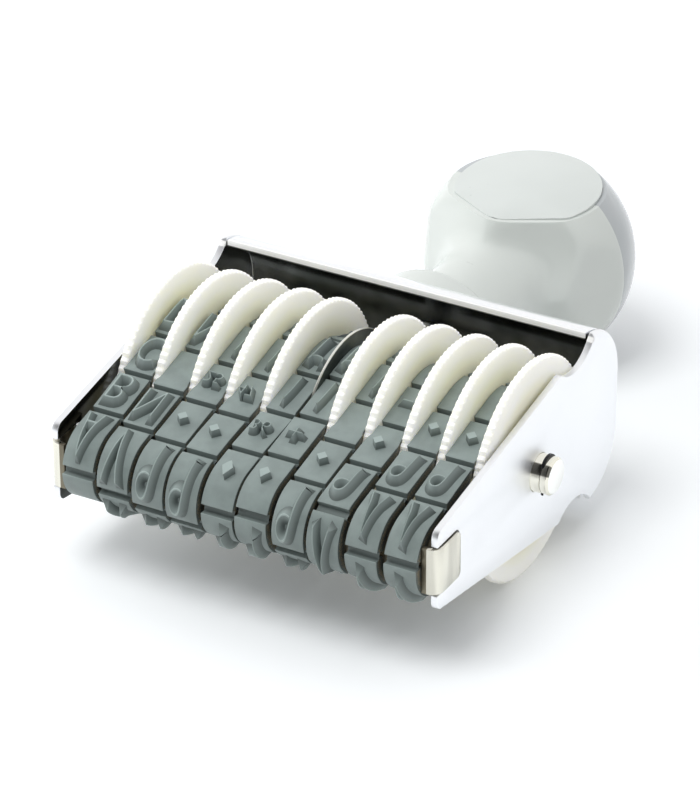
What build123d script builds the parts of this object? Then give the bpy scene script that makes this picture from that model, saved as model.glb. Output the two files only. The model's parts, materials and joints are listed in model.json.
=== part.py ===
"""Ten-band hand numbering stamp, lying on its wheels and its knob.

The working frame has its origin on the axle, halfway along it. X runs along the axle, Y from the print end
to the handle, and Z up. Every piece is made there and is then set down so that the finished stamp stands on
Z = 0 with its origin under the middle of its footprint.
"""

import os
from math import asin, cos, degrees, pi, radians, sin, sqrt

from build123d import *

# ---------------------------------------------------------------- driving dimensions, mm
BANDS_PER_SIDE = 5

# rubber bands
BAND_WIDTH = 5.0
BAND_BASE = 1.0
TYPE_WIDTH = 4.7
TYPE_RISE = 1.35
TYPE_BLOCKS = 11
TYPE_GAP = 1.1
PITCH_LINE = 0.5
# how far each band stands past its last print position, from the left side plate to the right one
BAND_SHIFTS = (5.5, 4.0, 3.1, 2.4, 5.6, 6.4, 2.9, 9.6, 5.7, 5.9)

# wheels
WHEEL_RADIUS = 19.0
WHEEL_TEETH = 90
TOOTH_DEPTH = 0.25
WHEEL_RIM = 0.9
WHEEL_WEB = 1.4
WEB_RADIUS = 14.4
HUB_RADIUS = 10.0
HUB_CLEARANCE = 0.3
SIDE_GAP = 0.115
HUB_PLAY = 0.1
END_PLAY = 0.45

# axle and its clips
AXLE_RADIUS = 3.2
AXLE_FIT = 0.05
AXLE_STANDOUT = 3.1
AXLE_CHAMFER = 0.4
GROOVE_INSET = 1.3
GROOVE_WIDTH = 0.6
GROOVE_DEPTH = 0.55
CLIP_RADIUS = 3.5
CLIP_LIFT = 0.3
CLIP_THICKNESS = 0.5
CLIP_MOUTH = 3.6
CLIP_FIT = 0.05

# print bridge
BRIDGE_REACH = 30.2
NOSE_RADIUS = 4.1
BRIDGE_SHEET = 0.8
BRIDGE_FIT = 0.05
BRIDGE_TAIL = 26.2
EAR_HALF_HEIGHT = 4.1
EAR_STANDOUT = 0.4
EAR_LENGTH = 7.0
EAR_BEND = 2.0
EAR_CORNER = 1.0

# divider plate between the two sets of bands
DIVIDER_SHEET = 0.4
DIVIDER_RADIUS = 15.4

# frame
FRAME_SHEET = 1.2
FRONT_REACH = 34.5
FRONT_HALF_HEIGHT = 7.0
FRONT_CORNER = 1.6
REAR_REACH = 29.05
REAR_HALF_HEIGHT = 15.75
REAR_CORNER = 10.85
LIP_REACH = 18.9
SCOOP_RADIUS = 8.2
SCOOP_DEPTH = 2.7
SCOOP_REACH = 12.8
SCOOP_BLEND = 1.5
NOTCH_FIT = 0.3
SLIT_WIDTH = 0.4
SLIT_DEPTH = 4.5
FRAME_BEND = 1.0

# handle
KNOB_RADIUS = 19.0
KNOB_REACH = 64.0
FRONT_FACET_DISTANCE = 16.25
FRONT_FACET_TURN = 29.0
SIDE_FACET_DISTANCE = 17.6
SIDE_FACET_TURN = 84.0
FACET_TILT = 20.0
NECK_RADIUS = 9.0
FLARE_RADIUS = 8.0
FLARE_TURN = 54.0
FLARE_SINK = 0.1
COLLAR_BLEND = 2.0
COLLAR_RADIUS = 12.9
COLLAR_THICKNESS = 2.0
COLLAR_ROUND = 0.8
CAP_SPIGOT_RADIUS = 8.0
CAP_SPIGOT_LENGTH = 4.0
CAP_FIT = 0.05

# label plate let into the top of the knob
LABEL_HEIGHT = 14.0
LABEL_THICKNESS = 0.8
LABEL_RADIUS = 13.0
LABEL_PEAK = 13.5
LABEL_SHOULDER = 32.0
LABEL_CORNER = 4.0
LABEL_EDGE = 0.25

# screw that holds the handle
SCREW_RADIUS = 2.0
SCREW_LENGTH = 17.0
SCREW_FIT = 0.05
HEAD_RADIUS = 3.8
HEAD_THICKNESS = 2.4
HEAD_ROUND = 0.8
HEAD_SLOT = 1.0
WASHER_RADIUS = 4.6
WASHER_THICKNESS = 0.5

# ---------------------------------------------------------------- sizes that follow from them
UNIT = BAND_WIDTH + WHEEL_WEB + 2 * SIDE_GAP
INNER_HALF_WIDTH = DIVIDER_SHEET / 2 + BANDS_PER_SIDE * UNIT + END_PLAY
OUTER_HALF_WIDTH = INNER_HALF_WIDTH + FRAME_SHEET
CHEEK_REACH = INNER_HALF_WIDTH - WHEEL_WEB
AXLE_HALF_LENGTH = OUTER_HALF_WIDTH + AXLE_STANDOUT
EAR_OUTSIDE = OUTER_HALF_WIDTH + EAR_STANDOUT
BAND_RADIUS = HUB_RADIUS + HUB_CLEARANCE
LOOP_LEAN = asin((BAND_RADIUS - NOSE_RADIUS) / BRIDGE_REACH)
NOSE_RUN = (NOSE_RADIUS + PITCH_LINE) * (pi / 2 - LOOP_LEAN)
STRAIGHT_RUN = sqrt(BRIDGE_REACH**2 - (BAND_RADIUS - NOSE_RADIUS) ** 2)
HUB_RUN = (BAND_RADIUS + PITCH_LINE) * (pi / 2 + LOOP_LEAN)
LOOP_LENGTH = 2 * (NOSE_RUN + STRAIGHT_RUN + HUB_RUN)
TYPE_PITCH = LOOP_LENGTH / TYPE_BLOCKS
TYPE_FACE = BAND_BASE + TYPE_RISE
BRIDGE_FRONT = BRIDGE_REACH + NOSE_RADIUS - BRIDGE_FIT
WALL_FACE = REAR_REACH - FRAME_SHEET
COLLAR_TOP = REAR_REACH + COLLAR_THICKNESS
LABEL_SEAT = LABEL_HEIGHT - LABEL_THICKNESS
FACET_FACING = cos(radians(FRONT_FACET_TURN)) * cos(radians(FACET_TILT))
FLARE_END = NECK_RADIUS + FLARE_RADIUS * (1 - cos(radians(FLARE_TURN)))
FLARE_DEPTH = (FRONT_FACET_DISTANCE - FLARE_END * sqrt(1 - FACET_FACING**2)) / FACET_FACING
FLARE_TOP = KNOB_REACH - FLARE_DEPTH + FLARE_SINK
FAR = 4 * KNOB_REACH
# margin for picking a vertex or an edge by its place
PICK = 0.01

# the stamp rests on its wheels and its knob, and its footprint runs from the type faces to the knob's end
FLOOR_DROP = max(WHEEL_RADIUS, KNOB_RADIUS)
FOOTPRINT_FRONT = -(BRIDGE_REACH + NOSE_RADIUS + TYPE_FACE)
FOOTPRINT_REAR = KNOB_REACH + KNOB_RADIUS
SET_DOWN = Location((0, -(FOOTPRINT_FRONT + FOOTPRINT_REAR) / 2, FLOOR_DROP))


# ---------------------------------------------------------------- shared outlines
def along_axle(profile, start, end):
    """Solid of a YZ outline, from start to end along the axle."""
    return extrude(Plane.YZ.offset(start) * profile, end - start)


def loop_face(offset):
    """Outline of a band's loop round hub and bridge, offset outwards from the band's inner surface."""
    hub = BAND_RADIUS + offset
    nose = NOSE_RADIUS + offset
    hub_y, hub_z = -hub * sin(LOOP_LEAN), hub * cos(LOOP_LEAN)
    nose_y, nose_z = -BRIDGE_REACH - nose * sin(LOOP_LEAN), nose * cos(LOOP_LEAN)
    outline = [
        ThreePointArc((hub_y, -hub_z), (hub, 0), (hub_y, hub_z)),
        Line((hub_y, hub_z), (nose_y, nose_z)),
        ThreePointArc((nose_y, nose_z), (-BRIDGE_REACH - nose, 0), (nose_y, -nose_z)),
        Line((nose_y, -nose_z), (hub_y, -hub_z)),
    ]
    return make_face(Curve() + outline)


def loop_place(distance, offset):
    """Place on the loop at a distance from the nose's tip, local Y pointing outwards."""
    half = LOOP_LENGTH / 2
    distance = (distance + half) % LOOP_LENGTH - half
    side = 1 if distance >= 0 else -1
    run = abs(distance)
    if run < NOSE_RUN:
        angle = pi - run / (NOSE_RADIUS + PITCH_LINE)
        y, z = -BRIDGE_REACH, 0
        reach = NOSE_RADIUS + offset
    elif run < NOSE_RUN + STRAIGHT_RUN:
        angle = pi / 2 + LOOP_LEAN
        travel = run - NOSE_RUN
        y, z = -BRIDGE_REACH + travel * cos(LOOP_LEAN), travel * sin(LOOP_LEAN)
        reach = NOSE_RADIUS + offset
    else:
        angle = pi / 2 + LOOP_LEAN - (run - NOSE_RUN - STRAIGHT_RUN) / (BAND_RADIUS + PITCH_LINE)
        y, z = 0, 0
        reach = BAND_RADIUS + offset
    y, z = y + reach * cos(angle), side * (z + reach * sin(angle))
    return Pos(y, z) * Rot(0, 0, side * degrees(angle) - 90)


# ---------------------------------------------------------------- bands and wheels
def band_centre(index):
    """X of a band's middle, bands counted from the left side plate."""
    side = -1 if index < BANDS_PER_SIDE else 1
    step = BANDS_PER_SIDE - 1 - index if side < 0 else index - BANDS_PER_SIDE
    return side * (DIVIDER_SHEET / 2 + SIDE_GAP + BAND_WIDTH / 2 + step * UNIT)


def band(index):
    """Rubber band: a smooth base loop with a ring of separate type blocks on it."""
    middle = band_centre(index)
    base = loop_face(BAND_BASE) - loop_face(0)
    blocks = loop_face(TYPE_FACE) - loop_face(BAND_BASE)
    for block in range(TYPE_BLOCKS):
        gap_at = BAND_SHIFTS[index] + (block + 0.5) * TYPE_PITCH
        blocks -= loop_place(gap_at, BAND_BASE + TYPE_RISE) * Rectangle(TYPE_GAP, 2 * TYPE_RISE)
    loop = along_axle(base, middle - BAND_WIDTH / 2, middle + BAND_WIDTH / 2)
    return loop + along_axle(blocks, middle - TYPE_WIDTH / 2, middle + TYPE_WIDTH / 2)


def serrated_outline():
    """Saw-toothed circle of the wheel's rim."""
    points = []
    for step in range(2 * WHEEL_TEETH):
        radius = WHEEL_RADIUS - TOOTH_DEPTH * (step % 2)
        angle = radians(90 + step * 180 / WHEEL_TEETH)
        points.append((radius * cos(angle), radius * sin(angle)))
    return make_face(Polyline(*points, close=True))


def wheel(index):
    """Thumb wheel: a disc that thins in a curve to its serrated rim, and a hub that carries the band."""
    side = -1 if index < BANDS_PER_SIDE else 1
    middle = band_centre(index) + side * (BAND_WIDTH / 2 + SIDE_GAP + WHEEL_WEB / 2)
    bore = AXLE_RADIUS + AXLE_FIT
    hub_end = WHEEL_WEB / 2 + BAND_WIDTH + 2 * SIDE_GAP - HUB_PLAY
    flank_end = WHEEL_RADIUS - 2 * TOOTH_DEPTH
    web, tip = WHEEL_WEB / 2, WHEEL_RIM / 2
    hub_side = [(-web, bore), (hub_end, bore), (hub_end, HUB_RADIUS), (web, HUB_RADIUS), (web, WEB_RADIUS)]
    half_section = [
        Polyline(*hub_side),
        TangentArc((web, WEB_RADIUS), (tip, flank_end), tangent=(0, 1)),
        Line((tip, flank_end), (-tip, flank_end)),
        TangentArc((-web, WEB_RADIUS), (-tip, flank_end), tangent=(0, 1)),
        Line((-web, WEB_RADIUS), (-web, bore)),
    ]
    body = revolve(make_face(Curve() + half_section), Axis.X)
    rim = along_axle(serrated_outline() - Circle(HUB_RADIUS), -WHEEL_RIM / 2, WHEEL_RIM / 2)
    turned = body + rim
    if side > 0:
        turned = mirror(turned, Plane.YZ)
    return Pos(middle, 0, 0) * turned


# ---------------------------------------------------------------- axle, clips, bridge, divider
def axle():
    """Pin through frame and wheels, with a clip groove near each end."""
    pin = Rot(0, 90, 0) * Cylinder(AXLE_RADIUS, 2 * AXLE_HALF_LENGTH)
    pin = chamfer(pin.edges(), AXLE_CHAMFER)
    for side in (-1, 1):
        ring = Cylinder(AXLE_RADIUS + 1, GROOVE_WIDTH) - Cylinder(AXLE_RADIUS - GROOVE_DEPTH, GROOVE_WIDTH)
        pin -= Pos(side * (OUTER_HALF_WIDTH + GROOVE_INSET + GROOVE_WIDTH / 2), 0, 0) * Rot(0, 90, 0) * ring
    return pin


def retaining_clip(side):
    """Open spring ring in the axle's groove, deepest opposite its mouth."""
    inner = AXLE_RADIUS - GROOVE_DEPTH + CLIP_FIT
    ring = Pos(0, CLIP_LIFT) * Circle(CLIP_RADIUS) - Circle(inner)
    ring -= Pos(0, -CLIP_RADIUS) * Rectangle(CLIP_MOUTH, 2 * CLIP_RADIUS)
    middle = side * (OUTER_HALF_WIDTH + GROOVE_INSET + GROOVE_WIDTH / 2)
    return along_axle(ring, middle - CLIP_THICKNESS / 2, middle + CLIP_THICKNESS / 2)


def bridge_ear():
    """Right-hand end of the bridge: a strap across the front that bends back into the side plate's notch."""
    front = -BRIDGE_FRONT - BRIDGE_SHEET
    rear = -FRONT_REACH + EAR_LENGTH
    width = EAR_OUTSIDE - CHEEK_REACH
    strap = Pos((EAR_OUTSIDE + CHEEK_REACH) / 2, (front + rear) / 2) * Rectangle(width, rear - front)
    corner = strap.vertices().sort_by(Axis.Y)[:2].sort_by(Axis.X)[-1]
    strap = fillet(corner, EAR_BEND)
    strap -= Pos(-BRIDGE_SHEET, BRIDGE_SHEET) * strap
    ear = extrude(Plane.XY.offset(-EAR_HALF_HEIGHT) * strap, 2 * EAR_HALF_HEIGHT)
    rear_edges = ear.edges().filter_by(Axis.X).sort_by(Axis.Y)[-2:]
    return fillet(rear_edges, EAR_CORNER)


def print_bridge():
    """Rounded sheet nose that the bands bend round, with an end cheek and an ear at each side."""
    tail = Pos(-BRIDGE_TAIL + FAR / 2, 0) * Rectangle(FAR, FAR)
    skin = loop_face(-BRIDGE_FIT) - loop_face(-BRIDGE_FIT - BRIDGE_SHEET) - tail
    cheek = loop_face(-BRIDGE_FIT) - tail
    bridge = along_axle(skin, -CHEEK_REACH, CHEEK_REACH)
    for side in (-1, 1):
        bridge += along_axle(cheek, side * CHEEK_REACH, side * (CHEEK_REACH + BRIDGE_SHEET))
    ear = bridge_ear()
    return bridge + ear + mirror(ear, Plane.YZ)


def divider_plate():
    """Thin plate on the axle, round behind and reaching forward into the bridge."""
    arm = loop_face(-2 * BRIDGE_FIT - BRIDGE_SHEET)
    outline = Circle(DIVIDER_RADIUS) + arm - Circle(AXLE_RADIUS + AXLE_FIT)
    return along_axle(outline, -DIVIDER_SHEET / 2, DIVIDER_SHEET / 2)


# ---------------------------------------------------------------- frame
def rear_outline(inset):
    """Rounded block outline whose rear end is the trough, inset by a wall."""
    depth = 2 * (REAR_REACH - inset)
    height = 2 * (REAR_HALF_HEIGHT - inset)
    return RectangleRounded(depth, height, REAR_CORNER - inset)


def behind_lip():
    """Half plane from the trough's lips rearwards."""
    return Pos(LIP_REACH + FAR / 2, 0) * Rectangle(FAR, FAR)


def side_outline():
    """Side plate: tapered front, finger scoops above and below, rear end rounded like the trough."""
    rise = (REAR_HALF_HEIGHT - FRONT_HALF_HEIGHT) / (FRONT_REACH + LIP_REACH)
    front = Polyline(
        (-FRONT_REACH, -FRONT_HALF_HEIGHT),
        (-FRONT_REACH, FRONT_HALF_HEIGHT),
        (LIP_REACH, REAR_HALF_HEIGHT),
        (LIP_REACH, -REAR_HALF_HEIGHT),
        close=True,
    )
    plate = make_face(front) + (rear_outline(0) & behind_lip())
    plate = fillet(plate.vertices().sort_by(Axis.X)[:2], FRONT_CORNER)
    edge_height = FRONT_HALF_HEIGHT + rise * (FRONT_REACH + SCOOP_REACH)
    scoop_z = edge_height - SCOOP_DEPTH + SCOOP_RADIUS
    for side in (-1, 1):
        plate -= Pos(SCOOP_REACH, side * scoop_z) * Circle(SCOOP_RADIUS)
    crests = plate.vertices().filter_by_position(Axis.X, SCOOP_REACH - SCOOP_RADIUS, SCOOP_REACH)
    return fillet(crests, SCOOP_BLEND)


def notch_outline():
    """Open-fronted notch that takes the bridge's ear."""
    length = EAR_LENGTH + NOTCH_FIT
    height = 2 * (EAR_HALF_HEIGHT + NOTCH_FIT)
    return Pos(-FRONT_REACH, 0) * RectangleRounded(2 * length, height, EAR_CORNER + NOTCH_FIT)


def frame():
    """Trough-shaped rear wall closed at both ends by the side plates, one bent sheet."""
    trough = (rear_outline(0) - rear_outline(FRAME_SHEET)) & behind_lip()
    shell = along_axle(trough, -INNER_HALF_WIDTH, INNER_HALF_WIDTH)
    plate = side_outline() - notch_outline() - Circle(AXLE_RADIUS + AXLE_FIT)
    for side in (-1, 1):
        shell += along_axle(plate, side * INNER_HALF_WIDTH, side * OUTER_HALF_WIDTH)
        outside = shell.edges().group_by(Axis.X)[-1 if side > 0 else 0]
        shell = fillet(outside.filter_by_position(Axis.Y, REAR_REACH - REAR_CORNER, FAR), FRAME_BEND)
    for side in (-1, 1):
        for level in (-1, 1):
            slit = Box(SLIT_WIDTH, 2 * SLIT_DEPTH, 2 * REAR_CORNER)
            across = side * (INNER_HALF_WIDTH - SLIT_WIDTH / 2)
            shell -= Pos(across, LIP_REACH, level * REAR_HALF_HEIGHT) * slit
    return shell - along_handle(SCREW_RADIUS + SCREW_FIT, WALL_FACE, FRAME_SHEET)


# ---------------------------------------------------------------- handle
def along_handle(radius, start, length):
    """Cylinder on the handle's axis."""
    return Pos(0, start + length / 2, 0) * Rot(90, 0, 0) * Cylinder(radius, length)


def knob_head():
    """Ball with finger facets towards the neck and at the sides, and a flat top for the label plate."""
    head = Pos(0, KNOB_REACH, 0) * Sphere(KNOB_RADIUS)
    head -= Pos(0, KNOB_REACH, LABEL_SEAT + FAR / 2) * Box(FAR, FAR, FAR)
    facets = ((FRONT_FACET_TURN, FRONT_FACET_DISTANCE), (SIDE_FACET_TURN, SIDE_FACET_DISTANCE))
    for turn, distance in facets:
        beyond = Pos(0, -distance - FAR / 2, 0) * Box(FAR, FAR, FAR)
        for side in (-1, 1):
            for tilt in (-FACET_TILT, FACET_TILT):
                head -= Pos(0, KNOB_REACH, 0) * Rot(0, 0, side * turn) * Rot(tilt, 0, 0) * beyond
    return head


def neck_flare():
    """Half section of the hollow curve by which the neck widens into the facets."""
    start = FLARE_TOP - FLARE_RADIUS * sin(radians(FLARE_TURN))
    half_turn = radians(FLARE_TURN / 2)
    half_way = (NECK_RADIUS + FLARE_RADIUS * (1 - cos(half_turn)), start + FLARE_RADIUS * sin(half_turn))
    outline = [
        ThreePointArc((NECK_RADIUS, start), half_way, (FLARE_END, FLARE_TOP)),
        Polyline((FLARE_END, FLARE_TOP), (0, FLARE_TOP), (0, start), (NECK_RADIUS, start)),
    ]
    return make_face(Curve() + outline)


def knob_stem():
    """Neck that flares into the facets, and collar, turned to fit the trough's round back."""
    collar_length = COLLAR_TOP - LIP_REACH
    neck_length = KNOB_REACH - LIP_REACH
    neck = Pos(NECK_RADIUS / 2, LIP_REACH + neck_length / 2) * Rectangle(NECK_RADIUS, neck_length)
    collar = Pos(COLLAR_RADIUS / 2, LIP_REACH + collar_length / 2) * Rectangle(COLLAR_RADIUS, collar_length)
    section = neck + collar + neck_flare()
    at_top = section.vertices().filter_by_position(Axis.Y, COLLAR_TOP - PICK, COLLAR_TOP + PICK)
    section = fillet(at_top.sort_by(Axis.X)[-1], COLLAR_ROUND)
    at_neck = section.vertices().filter_by_position(Axis.X, NECK_RADIUS - PICK, NECK_RADIUS + PICK)
    section = fillet(at_neck.sort_by(Axis.Y)[0], COLLAR_BLEND)
    stem = revolve(section, Axis.Y)
    return stem - along_axle(rear_outline(0), -COLLAR_RADIUS, COLLAR_RADIUS)


def behind_seam():
    """Everything on the palm side of the knob's seam."""
    return Pos(0, KNOB_REACH + FAR / 2, 0) * Box(FAR, FAR, FAR)


def handle_body():
    """Front half of the knob with neck and collar, a spigot for the palm cap and a bore for the screw."""
    body = knob_head() - behind_seam() + (knob_stem() - behind_seam())
    body += along_handle(CAP_SPIGOT_RADIUS, KNOB_REACH, CAP_SPIGOT_LENGTH)
    return body - along_handle(SCREW_RADIUS + SCREW_FIT, WALL_FACE, SCREW_LENGTH + SCREW_RADIUS)


def palm_cap():
    """Rear half of the knob, which lies in the palm."""
    socket = along_handle(CAP_SPIGOT_RADIUS + CAP_FIT, KNOB_REACH, CAP_SPIGOT_LENGTH + CAP_FIT)
    return (knob_head() & behind_seam()) - socket


def label_plate():
    """Shield-shaped inlay: round towards the palm, pointed towards the neck."""
    shoulder_x = LABEL_RADIUS * cos(radians(LABEL_SHOULDER))
    shoulder_y = -LABEL_RADIUS * sin(radians(LABEL_SHOULDER))
    outline = [
        ThreePointArc((shoulder_x, shoulder_y), (0, LABEL_RADIUS), (-shoulder_x, shoulder_y)),
        Line((-shoulder_x, shoulder_y), (0, -LABEL_PEAK)),
        Line((0, -LABEL_PEAK), (shoulder_x, shoulder_y)),
    ]
    shield = make_face(Curve() + outline)
    shield = fillet(shield.vertices(), LABEL_CORNER)
    plate = extrude(Plane.XY.offset(LABEL_SEAT) * Pos(0, KNOB_REACH) * shield, LABEL_THICKNESS)
    return fillet(plate.faces().sort_by(Axis.Z)[-1].edges(), LABEL_EDGE)


# ---------------------------------------------------------------- handle fixing
def handle_washer():
    """Flat washer inside the rear wall."""
    start = WALL_FACE - WASHER_THICKNESS
    hole = along_handle(SCREW_RADIUS + SCREW_FIT, start, WASHER_THICKNESS)
    return along_handle(WASHER_RADIUS, start, WASHER_THICKNESS) - hole


def handle_screw():
    """Pan-head screw from inside the trough into the handle's neck."""
    seat = WALL_FACE - WASHER_THICKNESS
    head = along_handle(HEAD_RADIUS, seat - HEAD_THICKNESS, HEAD_THICKNESS)
    head = fillet(head.edges().sort_by(Axis.Y)[0], HEAD_ROUND)
    head -= Pos(0, seat - HEAD_THICKNESS, 0) * Box(2 * HEAD_RADIUS, HEAD_THICKNESS, HEAD_SLOT)
    return head + along_handle(SCREW_RADIUS, seat, SCREW_LENGTH)


# ---------------------------------------------------------------- build
def build():
    """Every piece by its node name, in the working frame."""
    pieces = {
        "frame": frame(),
        "axle": axle(),
        "retaining_clip_left": retaining_clip(-1),
        "retaining_clip_right": retaining_clip(1),
        "print_bridge": print_bridge(),
        "divider_plate": divider_plate(),
        "handle_body": handle_body(),
        "palm_cap": palm_cap(),
        "label_plate": label_plate(),
        "handle_screw": handle_screw(),
        "handle_washer": handle_washer(),
    }
    for index in range(2 * BANDS_PER_SIDE):
        pieces[f"band_{index + 1:02d}"] = band(index)
        pieces[f"wheel_{index + 1:02d}"] = wheel(index)
    return pieces


os.makedirs("parts", exist_ok=True)
for name, shape in build().items():
    export_step(SET_DOWN * shape, f"parts/{name}.step")
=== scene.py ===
"""Ten-band hand numbering stamp: rubber type, serrated wheels, plated sheet, knob and studio.

Pieces are modelled in millimetres in the stamp's own frame, which has its origin on the axle, halfway along
it, with X along the axle, Y towards the knob and Z up. Each is then set into its place in metres.
"""

import json
from contextlib import contextmanager
from math import asin, atan2, cos, degrees, pi, radians, sin, sqrt, tan

import bmesh
import bpy
from bpy.props import FloatProperty, FloatVectorProperty, IntProperty, PointerProperty
from mathutils import Matrix, Vector


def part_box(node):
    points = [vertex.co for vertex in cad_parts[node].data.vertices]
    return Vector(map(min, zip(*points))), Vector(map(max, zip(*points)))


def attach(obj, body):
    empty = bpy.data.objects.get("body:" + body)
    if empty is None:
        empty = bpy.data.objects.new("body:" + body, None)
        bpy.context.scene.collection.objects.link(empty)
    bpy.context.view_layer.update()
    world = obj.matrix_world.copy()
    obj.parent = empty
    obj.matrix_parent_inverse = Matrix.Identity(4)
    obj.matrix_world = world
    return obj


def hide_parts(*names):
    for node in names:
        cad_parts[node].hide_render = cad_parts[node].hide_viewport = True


bl_info = {
    "name": "Numbering stamp",
    "version": (1, 0, 0),
    "blender": (4, 5, 0),
    "location": "View3D > Sidebar > Stamp",
    "description": "Dresses a hand numbering stamp: rubber type, serrated wheels, plated sheet and knob",
    "category": "Add Mesh",
}

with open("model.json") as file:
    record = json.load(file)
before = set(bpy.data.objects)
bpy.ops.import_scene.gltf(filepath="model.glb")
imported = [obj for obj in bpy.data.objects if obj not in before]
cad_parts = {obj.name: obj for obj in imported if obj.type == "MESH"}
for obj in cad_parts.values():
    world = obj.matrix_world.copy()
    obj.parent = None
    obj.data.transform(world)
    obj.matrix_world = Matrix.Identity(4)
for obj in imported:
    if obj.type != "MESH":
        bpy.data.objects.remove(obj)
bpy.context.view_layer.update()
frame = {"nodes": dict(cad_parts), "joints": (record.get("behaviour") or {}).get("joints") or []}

# ---------------------------------------------------------------- the frame's own facts
MM = 0.001
STAMP = "stamp"
AXLE = Vector(frame["joints"][0]["pos_m"])
# from the stamp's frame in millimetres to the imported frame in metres, and back
TO_PLACE = Matrix.Translation(AXLE) @ Matrix.Scale(MM, 4)
TO_STAMP = TO_PLACE.inverted()
BANDS = sorted(name for name in frame["nodes"] if name.startswith("band_"))
BANDS_PER_SIDE = len(BANDS) // 2

# ---------------------------------------------------------------- sizes, mm
# rubber bands
BAND_WIDTH = 5.1
BAND_INSIDE = -0.5
BAND_OUTSIDE = 0.85
TYPE_RISE = 1.1
BLOCK_TOP = BAND_OUTSIDE + TYPE_RISE
TYPE_BLOCKS = 11
TYPE_GAP = 1.1
GAP_LEDGE = 0.12
GAP_NICK = 0.6
PITCH_LINE = 0.5
BEND_STEP = 0.6
# how far each band has run round its loop
BAND_SHIFTS = (5.5, 4.0, 3.1, 2.4, 5.6, 6.4, 2.9, 9.6, 5.7, 5.9)
# how far each wanders along the bridge's nose, and what it swells to each side past the wheels
BAND_DRIFTS = (0.35, 0.18, 0.03, -0.39, -0.47, 0.0, 0.09, -0.32, -0.12, 0.14)
DRIFT_RUN = 8.0
BAND_SWELL = 0.28
SWELL_RUN = 0.5
RIM_MARGIN = 0.1

# the loop that they run on
HUB_RADIUS = 10.3
NOSE_RADIUS = 4.1
BRIDGE_REACH = 30.2
LOOP_LEAN = asin((HUB_RADIUS - NOSE_RADIUS) / BRIDGE_REACH)

# wheels
WHEEL_RADIUS = 19.0
WHEEL_WEB = 1.4
WHEEL_SIDE = 3.315
WHEEL_HUB_END = 5.83
WHEEL_BORE = 3.25
HUB_CLEAR = 0.3
HUB_CHAMFER = 0.3
# the disc's flank: along, radius
FLANK = ((WHEEL_WEB / 2, 14.4), (0.74, 15.4), (0.75, 16.6), (0.75, 18.1))
# the rim's rounding: along, radius, and the share of a serration's depth there
RIM = ((0.72, 18.45, 0.1), (0.66, 18.7, 0.5), (0.55, 18.89, 0.9), (0.38, 18.98, 1.0))

# axle and its retaining clips
SIDE_FACE = 35.0
AXLE_RADIUS = 3.2
AXLE_END = 0.4
AXLE_STANDOUT = 3.1
# the groove's section: along, depth
GROOVE = ((0.1, 0.0), (0.0, 0.14), (-0.06, 0.0))
CLIP_MIDDLE = 1.6
CLIP_STANDOUT = 0.4
CLIP_FOOT = 0.3
CLIP_TUCK = 0.08
# degrees from a clip's top to where its back sinks into the groove, and to where its feet begin
CLIP_BACK = 48.0
CLIP_FEET = 140.0

# roundings of the small metal's edges
BRIDGE_ROUNDING = 0.1
DIVIDER_ROUNDING = 0.06
AXLE_ROUNDING = 0.05
CLIP_ROUNDING = 0.05
SCREW_ROUNDING = 0.08

# trough of the frame
TROUGH_REACH = 29.05
TROUGH_HALF_HEIGHT = 15.75
TROUGH_CORNER = 10.85
TROUGH_INSIDE = 9.65
TROUGH_HALF_WIDTH = 33.8
LIP_REACH = 18.9

# divider
DIVIDER_RADIUS = 15.4

# knob: its ball, with the flats for the fingers as turn, distance and tilt
KNOB_RADIUS = 19.0
KNOB_REACH = 64.0
KNOB_CENTRE = Vector((0, KNOB_REACH, 0))
KNOB_SEAM = 64.0
SEAM_ROUNDING = 0.12
FACETS = ((29.0, 16.25, 20.0), (66.0, 17.6, 5.0))
# its neck, flare and collar
NECK_RADIUS = 9.0
NECK_FILLET = 3.0
NECK_FOOT = 2.0
FLARE_RADIUS = 9.0
FLARE_TURN = 54.0
FLARE_START = 45.9
COLLAR_RADIUS = 12.9
COLLAR_TOP = 31.05
COLLAR_EDGE = 0.8
COLLAR_FOOT = 20.0
# how ball and flare are blended
VOXEL = 0.42
BLEND_MIDDLE = 49.0
BLEND_RUN = 7.0
BLEND_PASSES = 120
SMOOTH_FROM = COLLAR_TOP + 1.5
# its label: the outline is cut from a disc by chords, each a turn and a distance
LABEL_SEAT = 13.1
LABEL_TOP = 13.65
LABEL_RADIUS = 13.4
LABEL_CHORDS = (
    (0, 12.43), (10, 12.32), (20, 11.98), (29, 11.5), (35, 12.02), (42, 12.53), (50, 12.98), (60, 13.31),
)
LABEL_WAIST = 0.92
LABEL_ASIDE = 0.4
LABEL_ROUNDING = 0.2


# ---------------------------------------------------------------- what a user may change
class BandSettings(bpy.types.PropertyGroup):
    """Rubber bands and the characters on them."""

    character_rise: FloatProperty(
        name="Character rise", description="How far a character stands above its block",
        default=1.5 * MM, min=0.2 * MM, max=2.0 * MM, unit="LENGTH", precision=5,
    )
    block_bevel: FloatProperty(
        name="Block edge", description="Rounding of a type block's edges",
        default=0.08 * MM, min=0.02 * MM, max=0.3 * MM, unit="LENGTH", precision=5,
    )
    rubber: FloatVectorProperty(
        name="Rubber", description="Colour of the type rubber", subtype="COLOR",
        default=(0.245, 0.295, 0.285), min=0.0, max=1.0,
    )
    ply: FloatVectorProperty(
        name="Ply", description="Colour of the fabric ply at a band's edge", subtype="COLOR",
        default=(0.34, 0.28, 0.17), min=0.0, max=1.0,
    )


class WheelSettings(bpy.types.PropertyGroup):
    """Thumb wheels."""

    teeth: IntProperty(
        name="Teeth", description="Serrations round a wheel's rim", default=90, min=30, max=180,
    )
    tooth_depth: FloatProperty(
        name="Tooth depth", description="Depth of a serration",
        default=0.5 * MM, min=0.05 * MM, max=0.6 * MM, unit="LENGTH", precision=5,
    )
    plastic: FloatVectorProperty(
        name="Plastic", description="Colour of the wheels", subtype="COLOR",
        default=(0.98, 0.975, 0.90), min=0.0, max=1.0,
    )


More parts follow.
